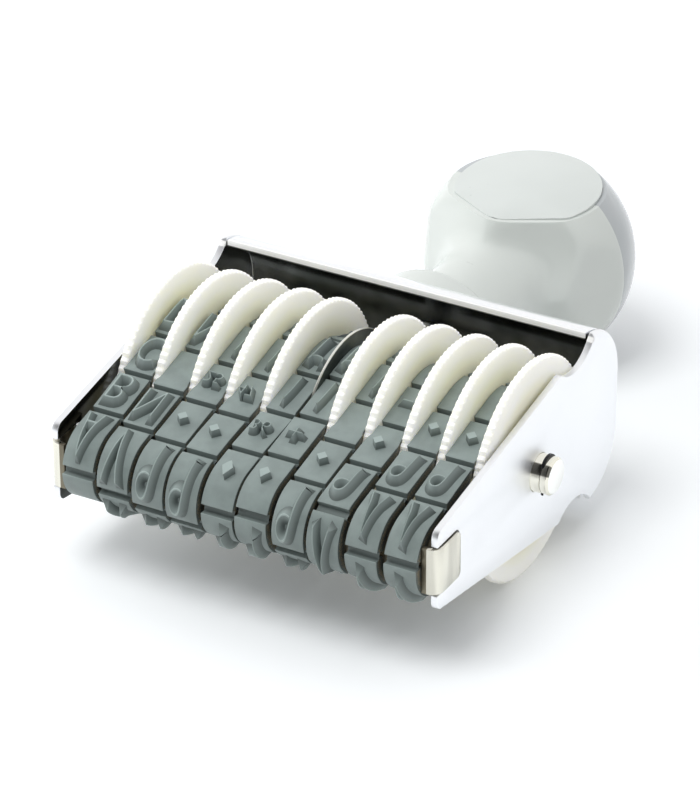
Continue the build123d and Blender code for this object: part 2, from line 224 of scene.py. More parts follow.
class SheetSettings(bpy.types.PropertyGroup):
    """Plated sheet metal."""

    edge_rounding: FloatProperty(
        name="Edge rounding", description="Rounding of the frame's sheet edges",
        default=0.15 * MM, min=0.02 * MM, max=0.5 * MM, unit="LENGTH", precision=5,
    )
    satin: FloatProperty(
        name="Chrome roughness", description="Roughness of the satin chrome",
        default=0.45, min=0.0, max=1.0, subtype="FACTOR",
    )
    chrome: FloatVectorProperty(
        name="Chrome", description="Colour of the chrome", subtype="COLOR",
        default=(0.97, 0.98, 1.0), min=0.0, max=1.0,
    )
    nickel: FloatVectorProperty(
        name="Nickel", description="Colour of the nickel-plated inner pieces", subtype="COLOR",
        default=(0.76, 0.74, 0.65), min=0.0, max=1.0,
    )


class KnobSettings(bpy.types.PropertyGroup):
    """Knob, palm cap and label."""

    softness: IntProperty(
        name="Softness", description="Smoothing passes over the knob's facets", default=60, min=0, max=200,
    )
    front: FloatVectorProperty(
        name="Front", description="Colour of the knob's front half", subtype="COLOR",
        default=(0.69, 0.73, 0.70), min=0.0, max=1.0,
    )
    palm: FloatVectorProperty(
        name="Palm cap", description="Colour of the knob's palm half", subtype="COLOR",
        default=(0.47, 0.50, 0.515), min=0.0, max=1.0,
    )
    label: FloatVectorProperty(
        name="Label", description="Colour of the bare label plate", subtype="COLOR",
        default=(0.67, 0.71, 0.69), min=0.0, max=1.0,
    )


class StudioSettings(bpy.types.PropertyGroup):
    """Light and floor."""

    key: FloatProperty(
        name="Key lamp", description="Power of the overhead lamp", default=4.3, min=0.0, unit="POWER",
    )
    side: FloatProperty(
        name="Side lamp", description="Power of the lamp at the left", default=4.6, min=0.0, unit="POWER",
    )
    sky: FloatProperty(
        name="Sky", description="Strength of the even light from all round", default=0.72, min=0.0,
    )


SETTINGS = {
    "stamp_bands": BandSettings,
    "stamp_wheels": WheelSettings,
    "stamp_sheet": SheetSettings,
    "stamp_knob": KnobSettings,
    "stamp_studio": StudioSettings,
}


# ---------------------------------------------------------------- shader expressions
class Wire:
    """A socket's value that arithmetic works on: each operator adds its Math node."""

    def __init__(self, finish, socket):
        self.finish = finish
        self.socket = socket

    def __add__(self, other):
        return self.finish.math("ADD", self, other)

    def __sub__(self, other):
        return self.finish.math("SUBTRACT", self, other)

    def __rsub__(self, other):
        return self.finish.math("SUBTRACT", other, self)

    def __mul__(self, other):
        return self.finish.math("MULTIPLY", self, other)

    def __lt__(self, other):
        return self.finish.math("LESS_THAN", self, other)

    def __gt__(self, other):
        return self.finish.math("GREATER_THAN", self, other)

    def __abs__(self):
        return self.finish.math("ABSOLUTE", self)

    __radd__ = __add__
    __rmul__ = __mul__


class Finish:
    """A node tree under construction, with one way to add any node."""

    def __init__(self, owner):
        owner.use_nodes = True
        self.owner = owner
        self.tree = owner.node_tree

    def plug(self, socket, value):
        """Puts a number or a colour into a socket, or links a wire to it."""
        if isinstance(value, Wire):
            self.tree.links.new(value.socket, socket)
        else:
            socket.default_value = value

    def node(self, kind, settings=None, sockets=None, output=0):
        """Adds a node: its settings first, then its sockets' values or links."""
        made = self.tree.nodes.new("ShaderNode" + kind)
        for name, value in (settings or {}).items():
            setattr(made, name, value)
        for name, value in (sockets or {}).items():
            self.plug(made.inputs[name], value)
        return Wire(self, made.outputs[output])

    def math(self, operation, first, second=0.0):
        """The result of one operation on one or two values."""
        return self.node("Math", {"operation": operation}, {0: first, 1: second})

    def place(self):
        """The surface point in the object's frame, in metres."""
        return self.node("TexCoord", output="Object")

    def stretched(self, scale):
        """The surface point with its axes scaled: a pattern on it runs long along the small ones."""
        return self.node("Mapping", sockets={"Vector": self.place(), "Scale": scale})

    def split(self, vector):
        """The three coordinates of a vector."""
        return [self.node("SeparateXYZ", sockets={0: vector}, output=axis) for axis in range(3)]

    def from_axle(self):
        """How far the surface point lies across, along and up from the axle's middle, in metres."""
        return self.split(self.node("VectorMath", {"operation": "SUBTRACT"}, {0: self.place(), 1: AXLE}))

    def distance(self, first, second):
        """Hypotenuse of two lengths."""
        return self.math("SQRT", first * first + second * second)

    def noise(self, scale, detail=2.0, roughness=0.5, vector=None):
        """Cloudy tone from 0 to 1, over the surface point or another vector."""
        sockets = {"Scale": scale, "Detail": detail, "Roughness": roughness}
        return self.node("TexNoise", sockets={"Vector": vector or self.place(), **sockets})

    def ramp(self, value, low, high, first=0.0, last=1.0):
        """Smooth passage from first to last as the value goes from low to high."""
        settings = {"interpolation_type": "SMOOTHSTEP"}
        sockets = {"Value": value, "From Min": low, "From Max": high, "To Min": first, "To Max": last}
        return self.node("MapRange", settings, sockets)

    def blend(self, mask, first, second):
        """Colour mix by a mask."""
        return self.node("Mix", {"data_type": "RGBA"}, {0: mask, 6: first, 7: second}, 2)

    def bump(self, height, distance):
        """Normal of a surface whose height goes from 0 to 1 over a distance."""
        return self.node("Bump", sockets={"Height": height, "Distance": distance})

    def shade(self, **sockets):
        """Puts values or wires into the principled shader's sockets."""
        for name, value in sockets.items():
            self.plug(self.shader.inputs[name.replace("_", " ")], value)


def rgba(colour, factor=1.0):
    """A colour's four channels, lighter or darker by a factor."""
    return (*(min(1.0, channel * factor) for channel in colour), 1.0)


def painted(name, colour, roughness, **sockets):
    """A material whose principled shader has these constant sockets."""
    finish = Finish(bpy.data.materials.new(name))
    finish.shader = finish.tree.nodes["Principled BSDF"]
    finish.shade(Base_Color=rgba(colour), Roughness=roughness, **sockets)
    return finish


# ---------------------------------------------------------------- finishes
# painted light on the rubber by its height out of the band, mm: from, to, factor there and there; painted
# shade darkens the block walls and the letters' slopes, painted highlights lighten the blocks' edges and the
# letters' tops
PAINTED_LIGHT_STEPS = (
    (-0.3, BLOCK_TOP - 0.12, 0.5, 0.75),
    (BLOCK_TOP - 0.12, BLOCK_TOP - 0.02, 1.2, 1.3),
    (BLOCK_TOP + 0.02, BLOCK_TOP + 1.35, 0.5, 1.0),
    (BLOCK_TOP + 1.35, BLOCK_TOP + 1.8, 1.45, 1.5),
)
# painted shade on a band's side walls: their tone at their foot and top, and how near its edge they are told
# from its face, mm
PAINTED_WALL_SHADE = (0.3, 0.5)
SIDE_MARGIN = 0.07
# fabric ply, mm: where it ends in the band, and its frayed line down the side walls from the blocks' top
PLY_END = (-0.28, -0.12)
FRAY_DEPTH = 1.0
FRAY_REACH = 0.7


def type_rubber(colour, ply):
    """Moulded grey rubber with faint mottling, and the fabric ply that shows at a band's edges; painted
    shade darkens its walls, letter slopes and band sides, and painted highlights lighten the blocks' edges
    and the letters' tops.
    """
    finish = painted("type_rubber", colour, 0.5)
    mottle = finish.ramp(finish.noise(320.0, 3.0), 0.3, 0.7)
    rubber = finish.blend(mottle, rgba(colour, 0.92), rgba(colour, 1.07))
    along, out, _ = finish.split(finish.node("UVMap", {"uv_map": "loop"}))
    thread = finish.noise(3.0, 3.0, vector=finish.node("CombineXYZ", sockets={0: along, 1: out * 4.0}))
    threads = finish.blend(finish.ramp(thread, 0.42, 0.6), (0.02, 0.018, 0.012, 1.0), rgba(ply))
    # painted shade down the block walls and letter slopes, painted highlights on the blocks' edges and the
    # letters' tops
    for low, high, under, over in PAINTED_LIGHT_STEPS:
        within = (out > low) * (out < high)
        tone = finish.blend(finish.ramp(out, low, high), rgba(colour, under), rgba(colour, over))
        rubber = finish.blend(within, rubber, tone)
    across = finish.split(finish.node("UVMap", {"uv_map": "cross"}))[0]
    side = (abs(across) > BAND_WIDTH / 2 - SIDE_MARGIN) * (out < PAINTED_LIGHT_STEPS[0][1])
    # painted shade: a band's side walls, facing the next band, darker towards their foot
    shaded_wall = finish.blend(finish.ramp(out, 0.0, BLOCK_TOP), *(rgba(colour, shade) for shade in PAINTED_WALL_SHADE))
    rubber = finish.blend(side, rubber, shaded_wall)
    frayed = (abs(out - BLOCK_TOP + FRAY_DEPTH) < FRAY_REACH * finish.ramp(thread, 0.45, 0.65)) * side
    rubber = finish.blend(frayed, rubber, threads)
    grain = finish.noise(5200.0, 2.0)
    at_ply = finish.ramp(out, *PLY_END, 1.0, 0.0)
    finish.shade(Base_Color=finish.blend(at_ply, rubber, threads))
    finish.shade(Roughness=finish.ramp(grain, 0.2, 0.8, 0.42, 0.58))
    finish.shade(Normal=finish.bump(grain + 0.8 * mottle, 0.012 * MM))
    return finish.owner


def wheel_ivory(colour):
    """Translucent ivory plastic, with a painted glow at the rim and painted shade, darker and yellower,
    towards the hub.
    """
    scatter = {"Subsurface_Weight": 0.8, "Subsurface_Scale": 1.6 * MM, "Subsurface_Radius": (1.0, 0.97, 0.8)}
    finish = painted("wheel_ivory", colour, 0.42, Emission_Strength=0.16, **scatter)
    _, along, up = finish.from_axle()
    reach = finish.distance(along, up)
    # painted shade: the flank darker and yellower towards the hub
    hub_shade_fade = finish.ramp(reach, 12.5 * MM, 17.5 * MM)
    cloud = finish.ramp(finish.noise(180.0, 3.0), 0.3, 0.75)
    body = finish.blend(hub_shade_fade, (0.88, 0.86, 0.70, 1), rgba(colour))
    finish.shade(Base_Color=finish.blend(0.12 * cloud, body, (0.80, 0.77, 0.60, 1)))
    # painted glow: emission from dim near the hub to ivory white at the rim
    painted_glow = finish.ramp(reach, 11.0 * MM, 18.6 * MM)
    finish.shade(Emission_Color=finish.blend(painted_glow, (0.2, 0.19, 0.13, 1), (1.0, 0.99, 0.92, 1)))
    finish.shade(Roughness=finish.ramp(finish.noise(900.0, 2.0), 0.2, 0.8, 0.36, 0.5))
    finish.shade(Normal=finish.bump(finish.noise(2400.0, 2.0), 0.006 * MM))
    return finish.owner


# the frame's zones, mm: how far the trough's painted shade laps past its inside, where the painted shade on
# the plates' insides fades from dark to bright, and the size of the lip painted white as a highlight
SHADE_LAP = 0.25
CHEEK_FADE = (-16.0, -8.0)
LIP_LENGTH = 0.35
LIP_DEPTH = 1.3
POLISHED = 0.2


def chrome(colour, satin):
    """Satin chrome outside with faint wiping marks, the trough's polished inside and the plates' insides
    darkened by painted shade, and the lip painted white as a highlight.
    """
    finish = painted("chrome", colour, satin, Metallic=1.0)
    across, along, up = finish.from_axle()
    aside = abs(across)
    behind = finish.math("MAXIMUM", along - (TROUGH_REACH - TROUGH_CORNER) * MM, 0.0)
    above = finish.math("MAXIMUM", abs(up) - (TROUGH_HALF_HEIGHT - TROUGH_CORNER) * MM, 0.0)
    trough = finish.distance(behind, above) < (TROUGH_INSIDE + SHADE_LAP) * MM
    trough = trough * (aside < (TROUGH_HALF_WIDTH - 0.1) * MM)
    cheek = abs(aside - TROUGH_HALF_WIDTH * MM) < 0.04 * MM
    cheek = cheek * finish.ramp(along, *(end * MM for end in CHEEK_FADE), 1.0, 0.0)
    # painted shade: the trough's polished inside and the plates' insides are dark, with a cloudy tone
    painted_trough_shade = finish.math("MAXIMUM", trough, cheek)
    dark, light = (0.055, 0.06, 0.055, 1), (0.14, 0.145, 0.14, 1)
    painted_shade_tone = finish.blend(finish.ramp(finish.noise(110.0, 2.0), 0.3, 0.7), dark, light)
    wiping = finish.noise(60.0, 4.0, 0.6)
    smudge = finish.ramp(wiping, 0.45, 0.75)
    plated = finish.blend(0.5 * smudge, rgba(colour), rgba(colour, 0.96))
    # painted highlight: the lip white and mostly not metal, so it shows as white as a bright reflection
    lip = (along < (LIP_REACH + LIP_LENGTH) * MM) * (up > (TROUGH_HALF_HEIGHT - LIP_DEPTH) * MM)
    plated = finish.blend(lip, plated, (1, 1, 1, 1))
    finish.shade(Base_Color=finish.blend(painted_trough_shade, plated, painted_shade_tone))
    outside = aside > (TROUGH_HALF_WIDTH + 0.05) * MM
    rough = finish.ramp(wiping, 0.3, 0.7, POLISHED, 0.26) + (satin - POLISHED) * outside
    finish.shade(Roughness=rough * (1 - painted_trough_shade) + POLISHED * painted_trough_shade + 0.2 * lip, Metallic=1 - 0.85 * lip)
    finish.shade(Normal=finish.bump(finish.noise(900.0, 2.0), 0.002 * MM))
    return finish.owner


def nickel(colour):
    """Warm brushed nickel, its brushing along the axle, with painted shade darkening it between the side
    plates.
    """
    finish = painted("nickel", colour, 0.2, Metallic=1.0)
    stripes = finish.noise(900.0, 2.0, vector=finish.stretched((0.3, 1.0, 0.08)))
    cloud = finish.noise(90.0, 3.0)
    # painted shade: brown-grey and rougher between the side plates, among the bands
    between = abs(finish.from_axle()[0]) < (TROUGH_HALF_WIDTH - 0.5) * MM
    soft = finish.noise(420.0, 1.0, vector=finish.stretched((1.0, 1.0, 0.1)))
    tone = finish.blend(finish.ramp(soft, 0.35, 0.65), rgba(colour, 0.82), rgba(colour, 1.12))
    tone = finish.blend(0.3 * finish.ramp(cloud, 0.3, 0.7), tone, rgba(colour, 0.9))
    finish.shade(Base_Color=finish.blend(between, tone, (0.22, 0.20, 0.15, 1)))
    finish.shade(Roughness=finish.ramp(stripes, 0.3, 0.7, 0.14, 0.26) + 0.25 * between)
    finish.shade(Normal=finish.bump(stripes, 0.003 * MM))
    return finish.owner


def dull_steel():
    """Rubber-stained steel of the divider, bright along its bare edge."""
    finish = painted("dull_steel", (0.12, 0.13, 0.125), 0.4, Metallic=1.0)
    _, along, up = finish.from_axle()
    edge = finish.distance(along, up) > (DIVIDER_RADIUS - 0.14) * MM
    stain = finish.ramp(finish.noise(150.0, 3.0), 0.3, 0.7)
    flank = finish.blend(stain, (0.10, 0.11, 0.105, 1), (0.15, 0.165, 0.155, 1))
    finish.shade(Base_Color=finish.blend(edge, flank, (0.85, 0.85, 0.80, 1)))
    finish.shade(Roughness=finish.ramp(finish.noise(700.0, 2.0), 0.2, 0.8, 0.34, 0.46))
    return finish.owner


# the axle's painted dark reflection, a streak along it: its turn round the axle, and from where to where it
# fades, radians
DARK_REFLECTION_TURN = radians(138)
DARK_REFLECTION_FADE = (0.26, 0.34)


def turned_steel(colour):
    """Bright steel of the axle, its turning marks round it, a painted dark reflection as a streak along it
    with the rest painted a little lighter, and a pale end face.
    """
    finish = painted("turned_steel", colour, 0.07, Metallic=1.0)
    marks = finish.noise(4000.0, 2.0, vector=finish.stretched((1, 0.02, 0.02)))
    across, along, up = finish.from_axle()
    face = abs(across) > (SIDE_FACE + AXLE_STANDOUT - 0.05) * MM
    # painted reflection: a dark streak at one turn round the axle, the rest a little lighter
    off_reflection = abs(finish.math("ARCTAN2", up, along) - DARK_REFLECTION_TURN)
    dark_reflection = finish.ramp(off_reflection, *DARK_REFLECTION_FADE, 1.0, 0.0)
    side = finish.blend(dark_reflection, rgba(colour, 1.15), rgba(colour, 0.2))
    finish.shade(Base_Color=finish.blend(face, side, (1, 1, 0.97, 1)))
    finish.shade(Roughness=finish.ramp(marks, 0.3, 0.7, 0.05, 0.11))
    return finish.owner


def blackened_spring():
    """Oiled black oxide of the retaining clips, with bare steel where it has rubbed."""
    finish = painted("blackened_spring", (0.018, 0.018, 0.02), 0.38, Metallic=0.6)
    rubbed = finish.ramp(finish.noise(1400.0, 4.0), 0.6, 0.72)
    finish.shade(Base_Color=finish.blend(rubbed, (0.015, 0.015, 0.017, 1), (0.12, 0.12, 0.13, 1)))
    finish.shade(Roughness=finish.ramp(finish.noise(2500.0), 0.2, 0.8, 0.28, 0.5))
    return finish.owner


def zinc():
    """Bright zinc plating with the crystal bloom that it takes on."""
    finish = painted("zinc", (0.66, 0.67, 0.70), 0.3, Metallic=1.0)
    bloom = finish.node("TexVoronoi", sockets={"Vector": finish.place(), "Scale": 1500.0})
    finish.shade(Base_Color=finish.blend(bloom, (0.6, 0.61, 0.64, 1), (0.72, 0.73, 0.75, 1)))
    finish.shade(Roughness=finish.ramp(finish.noise(1800.0), 0.2, 0.8, 0.22, 0.42))
    return finish.owner


def knob_gloss(name, colour):
    """Injection-moulded gloss plastic with a faint flow of tone and fine polishing ripple."""
    finish = painted(name, colour, 0.2, Coat_Weight=0.4, Coat_Roughness=0.06)
    flow = finish.ramp(finish.noise(45.0, 2.0), 0.3, 0.7)
    specks = finish.ramp(finish.noise(600.0, 1.0), 0.775, 0.79)
    tone = finish.blend(flow, rgba(colour, 0.97), rgba(colour, 1.03))
    finish.shade(Base_Color=finish.blend(0.25 * specks, tone, rgba(colour, 0.6)))
    finish.shade(Roughness=finish.ramp(finish.noise(1300.0, 3.0), 0.3, 0.7, 0.15, 0.25))
    finish.shade(Normal=finish.bump(finish.noise(160.0, 2.0), 0.01 * MM))
    return finish.owner


# ---------------------------------------------------------------- modelling by operators
# how near a face's normal comes to a direction to count as facing it, and how near two places are one, mm
FACING = 0.9
TOUCH = 0.001


def alone(piece):
    """Selects one piece and nothing else, in object mode."""
    if bpy.context.mode != "OBJECT":
        bpy.ops.object.mode_set(mode="OBJECT")
    bpy.ops.object.select_all(action="DESELECT")
    piece.select_set(True)
    bpy.context.view_layer.objects.active = piece


def started(add, **settings):
    """What one of Blender's add operators makes, with nothing else selected."""
    bpy.ops.object.select_all(action="DESELECT")
    add(**settings)
    return bpy.context.object


@contextmanager
def editing(piece, kind="FACE"):
    """Edit mode on one piece, with all of it selected."""
    alone(piece)
    bpy.ops.object.mode_set(mode="EDIT")
    bpy.ops.mesh.select_mode(type=kind)
    bpy.ops.mesh.select_all(action="SELECT")
    yield
    bpy.ops.object.mode_set(mode="OBJECT")


def choose(kind, test):
    """In edit mode, selects the verts, edges or faces that pass a test, and nothing else."""
    bpy.ops.mesh.select_all(action="DESELECT")
    mesh = bpy.context.object.data
    shape = bmesh.from_edit_mesh(mesh)
    for item in getattr(shape, kind):
        if test(item):
            item.select_set(True)
    bmesh.update_edit_mesh(mesh)


def cut(point, normal, fill=False, drop=""):
    """In edit mode, cuts the whole piece by a plane and may drop what lies outside or inside it."""
    bpy.ops.mesh.select_all(action="SELECT")
    sides = {"clear_outer": drop == "outer", "clear_inner": drop == "inner"}
    bpy.ops.mesh.bisect(plane_co=point, plane_no=normal, use_fill=fill, threshold=0.0001, **sides)


def tidy_mesh(distance=0.0005):
    """In edit mode, merges what coincides and turns every face outwards."""
    bpy.ops.mesh.select_all(action="SELECT")
    bpy.ops.mesh.remove_doubles(threshold=distance)
    bpy.ops.mesh.normals_make_consistent(inside=False)


def modify(piece, kind, **settings):
    """Adds a modifier and applies it."""
    alone(piece)
    added = piece.modifiers.new(kind.title(), kind)
    for name, value in settings.items():
        setattr(added, name, value)
    bpy.ops.object.modifier_apply(modifier=added.name)


def round_edges(piece, width, angle, segments=2, clamp=True):
    """Bevels the edges that turn by more than an angle, in degrees."""
    modify(piece, "BEVEL", width=width, segments=segments, limit_method="ANGLE", angle_limit=radians(angle),
           use_clamp_overlap=clamp)


def weigh(piece, name, weight):
    """Adds a vertex group that holds the weight of each place."""
    group = piece.vertex_groups.new(name=name)
    for vert in piece.data.vertices:
        group.add([vert.index], weight(vert.co), "REPLACE")


def twin(piece):
    """Copy of a piece with its own mesh."""
    copied = bpy.data.objects.new(piece.name, piece.data.copy())
    bpy.context.scene.collection.objects.link(copied)
    copied.matrix_world = piece.matrix_world
    return copied


def set_by(piece, matrix):
    """Moves a piece's mesh by a matrix."""
    alone(piece)
    piece.matrix_world = matrix @ piece.matrix_world
    bpy.ops.object.transform_apply(location=True, rotation=True, scale=True)
    return piece


def joined(pieces):
    """One object of several."""
    alone(pieces[0])
    for piece in pieces[1:]:
        piece.select_set(True)
    bpy.ops.object.join()
    return pieces[0]


def drop(piece):
    """Removes a spare piece."""
    bpy.data.objects.remove(piece)


def settle(piece, name, body, node, finish, crease=30.0, replaced=True):
    """Sets a finished piece into its place, hangs it on what it rides on, gives it what it is made of, and
    hides the imported piece that it replaces.
    """
    set_by(piece, TO_PLACE)
    bpy.ops.object.shade_smooth_by_angle(angle=radians(crease))
    piece.name = piece.data.name = name
    piece.data.materials.clear()
    piece.data.materials.append(finish)
    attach(piece, body)
    if replaced:
        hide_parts(node)


def merged_copy(node):
    """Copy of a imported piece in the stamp's frame, its loose triangles joined into flat faces."""
    piece = twin(frame["nodes"][node])
    piece.data.materials.clear()
    set_by(piece, TO_STAMP)
    with editing(piece):
        bpy.ops.mesh.remove_doubles(threshold=0.002)
        bpy.ops.mesh.dissolve_limited(angle_limit=radians(0.4))
    return piece


def dress(node, name, finish, rounding, angle=40, segments=2):
    """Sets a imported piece's copy in its place, with its edges rounded."""
    piece = merged_copy(node)
    round_edges(piece, rounding, angle, segments, clamp=False)
    settle(piece, name, STAMP, node, finish)


def turned(profile, steps, axis="X"):
    """Solid of revolution of a closed outline of (along, radius) points, about the X or the Y axis."""
    piece = started(bpy.ops.mesh.primitive_plane_add, size=1.0)
    with editing(piece, "VERT"):
        bpy.ops.mesh.merge(type="CENTER")
        bpy.ops.transform.translate(value=(profile[0][0], 0, profile[0][1]))
        for before, after in zip(profile, profile[1:]):
            step = (after[0] - before[0], 0, after[1] - before[1])
            bpy.ops.mesh.extrude_region_move(TRANSFORM_OT_translate={"value": step})
        first, last = (Vector((point[0], 0, point[1])) for point in (profile[0], profile[-1]))
        if first.z > 0 or last.z > 0:
            choose("verts", lambda vert: min((vert.co - first).length, (vert.co - last).length) < 0.0001)
            bpy.ops.mesh.edge_face_add()
        bpy.ops.mesh.select_all(action="SELECT")
        bpy.ops.mesh.spin(steps=steps, angle=2 * pi, center=(0, 0, 0), axis=(1, 0, 0))
        tidy_mesh()
    if axis == "Y":
        set_by(piece, Matrix.Rotation(pi / 2, 4, "Z"))
    return piece


def arc(along, radius, size, start, end, steps):
    """Points of a profile's arc about (along, radius), from one angle to another, in degrees."""
    angles = [radians(start + (end - start) * step / steps) for step in range(steps + 1)]
    return [(along + size * cos(angle), radius + size * sin(angle)) for angle in angles]


# ---------------------------------------------------------------- bands
def band_middle(node):
    """X of a band's middle in the stamp's frame."""
    low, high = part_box(node)
    return ((low + high) / 2 - AXLE).x / MM


def loop_curve():
    """Path of a band round the bridge's nose and the wheel's hub, from the nose's tip over the top."""
    nose, hub = NOSE_RADIUS + PITCH_LINE, HUB_RADIUS + PITCH_LINE
    lean_y, lean_z = cos(LOOP_LEAN), sin(LOOP_LEAN)
    straight = sqrt(BRIDGE_REACH**2 - (HUB_RADIUS - NOSE_RADIUS) ** 2) / 3
    # a quarter of an arc's turn gives the length of its Bezier handles
    round_nose = 4 / 3 * tan((pi / 2 - LOOP_LEAN) / 4) * nose
    round_hub = 4 / 3 * tan((pi / 2 + LOOP_LEAN) / 4) * hub
    stations = [
        ((-BRIDGE_REACH - nose * lean_z, nose * lean_y), (lean_y, lean_z), round_nose, straight),
        ((-hub * lean_z, hub * lean_y), (lean_y, lean_z), straight, round_hub),
        ((hub, 0), (0, -1), round_hub, round_hub),
        ((-hub * lean_z, -hub * lean_y), (-lean_y, lean_z), round_hub, straight),
        ((-BRIDGE_REACH - nose * lean_z, -nose * lean_y), (-lean_y, lean_z), straight, round_nose),
        ((-BRIDGE_REACH - nose, 0), (0, 1), round_nose, round_nose),
    ]
    path = bpy.data.curves.new("loop_path", "CURVE")
    path.dimensions = "2D"
    path.resolution_u = 64
    path.use_deform_bounds = False
    spline = path.splines.new("BEZIER")
    spline.bezier_points.add(len(stations) - 1)
    spline.use_cyclic_u = True
    for point, (place, heading, before, after) in zip(spline.bezier_points, stations):
        place, heading = Vector((*place, 0)), Vector((*heading, 0))
        point.handle_left_type = point.handle_right_type = "FREE"
        point.co = place
        point.handle_left = place - before * heading
        point.handle_right = place + after * heading
    loop = bpy.data.objects.new("loop_path", path)
    bpy.context.scene.collection.objects.link(loop)
    return loop


def bend_round(piece, loop, middle):
    """Bends a flat strip, X along it and Y outwards, round the loop, and sets it over a band's middle."""
    modify(piece, "CURVE", object=loop, deform_axis="POS_X")
    to_stamp = Matrix(((0, 0, 1, middle), (1, 0, 0, 0), (0, 1, 0, 0), (0, 0, 0, 1)))
    set_by(piece, to_stamp)


def beyond(face, distance):
    """Whether a face's middle lies past a distance along the flat strip, either way."""
    return abs(face.calc_center_median().x) > distance


def band_unit(pitch, bevel):
    """One pitch of a band, laid flat: base strip with its nicks at the gap, and a type block."""
    unit = started(bpy.ops.mesh.primitive_cube_add, size=1.0)
    set_by(unit, Matrix.Diagonal((pitch, BAND_OUTSIDE - BAND_INSIDE, BAND_WIDTH, 1.0)))
    set_by(unit, Matrix.Translation((0, (BAND_OUTSIDE + BAND_INSIDE) / 2, 0)))
    block_end = (pitch - TYPE_GAP) / 2
    ledge_end = block_end + GAP_LEDGE
    with editing(unit):
        for side in (-1, 1):
            cut((side * block_end, 0, 0), (1, 0, 0))
            cut((side * ledge_end, 0, 0), (1, 0, 0))
        choose("faces", lambda face: beyond(face, pitch / 2 - TOUCH))
        bpy.ops.mesh.delete(type="FACE")
        choose("faces", lambda face: face.normal.y > FACING and not beyond(face, block_end))
        bpy.ops.mesh.extrude_region_move(TRANSFORM_OT_translate={"value": (0, TYPE_RISE, 0)})
        for side in (-1, 1):
            choose("faces", lambda face: side * face.normal.z > FACING and beyond(face, ledge_end))
            bpy.ops.mesh.extrude_region_move(TRANSFORM_OT_translate={"value": (0, 0, -side * GAP_NICK)})
        choose("faces", lambda face: beyond(face, pitch / 2 - TOUCH) and abs(face.normal.x) > FACING)
        bpy.ops.mesh.delete(type="FACE")
        tidy_mesh()
    round_edges(unit, bevel, 40)
    with editing(unit):
        for step in range(1, int(pitch / BEND_STEP)):
            cut((-pitch / 2 + step * BEND_STEP, 0, 0), (1, 0, 0))
    return unit


def past_wheels(place, run):
    """How far a place lies beyond the wheels' rims, as a share of a run."""
    return min(1.0, max(0.0, (place.yz.length - WHEEL_RADIUS - RIM_MARGIN) / run))


def pull_aside(piece, shift, weight):
    """Moves a piece's mesh along the axle, each place by its weight."""
    if shift:
        weigh(piece, "aside", weight)
        modify(piece, "DISPLACE", direction="X", strength=shift, mid_level=0.0, vertex_group="aside")
        piece.vertex_groups.clear()


def loosen(band, middle, drift):
    """Lets a bent band swell where no wheel holds it, and wander a little along the bridge's nose."""
    for side in (-1, 1):
        pull_aside(band, side * BAND_SWELL, lambda place: past_wheels(place, SWELL_RUN)
                   * min(1.0, max(0.0, 0.5 + side * (place.x - middle) / BAND_WIDTH)))
    pull_aside(band, drift, lambda place: past_wheels(place, DRIFT_RUN))


def mark_loop(piece):
    """Keeps each point's place along, across and out of the flat strip, in mm, as UV maps."""
    loop, cross = (piece.data.uv_layers.new(name=name).data for name in ("loop", "cross"))
    for corner in piece.data.loops:
        place = piece.data.vertices[corner.vertex_index].co
        loop[corner.index].uv = (place.x, place.y)
        cross[corner.index].uv = (place.z, place.y)


def flat_band(pitch, bevel):
    """A whole band laid flat, its first block centred on X = 0."""
    strip = band_unit(pitch, bevel)
    modify(strip, "ARRAY", count=TYPE_BLOCKS, use_relative_offset=False, use_constant_offset=True,
           constant_offset_displace=(pitch, 0, 0), use_merge_vertices=True, merge_threshold=0.01)
    while strip.data.uv_layers:
        strip.data.uv_layers.remove(strip.data.uv_layers[0])
    mark_loop(strip)
    return strip


# ---------------------------------------------------------------- characters
DIGITS = "۰۱۲۳۴۵۶۷۸۹"
# the rows of letters, a space for a bare block
LETTER_ROWS = ("ABCDEFGHJK ", "VN MTLKHFEX")
# for each band after them, the block of its nought and what stands on the block after it
DIGIT_ROWS = ((1, "25"), (1, "47"), (0, "36"), (0, "+"), (1, ""), (1, "-"), (2, ""), (2, ""))

GLYPH_WIDTH = 4.6
GLYPH_HEIGHT = 7.8
# shares of these for small groups, a dash's height and the one's width
SMALL_WIDTH = 0.8
SMALL_HEIGHT = 0.4
DASH_HEIGHT = 0.35
ONE_WIDTH = 0.35
NOUGHT_RISE = 0.95
NOUGHT_EDGE = 1.65
NOUGHT_TAPER = 0.82
STROKE_DRAFT = 0.11
STROKE_THIN = -0.035
# how deep a character's foot is sunk into its block, and how many cuts let it bend either way
FOOT = 0.04
BEND_CUTS = 6


def characters(band):
    """What stands on a band's blocks, from the first block upwards."""
    if band < len(LETTER_ROWS):
        return [letter.strip() for letter in LETTER_ROWS[band]]
    nought, group = DIGIT_ROWS[band - len(LETTER_ROWS)]
    row = [""] * TYPE_BLOCKS
    for digit, sign in enumerate(DIGITS):
        row[(nought - (10 - digit) % 10) % TYPE_BLOCKS] = sign
    row[(nought + 1) % TYPE_BLOCKS] = group
    return row


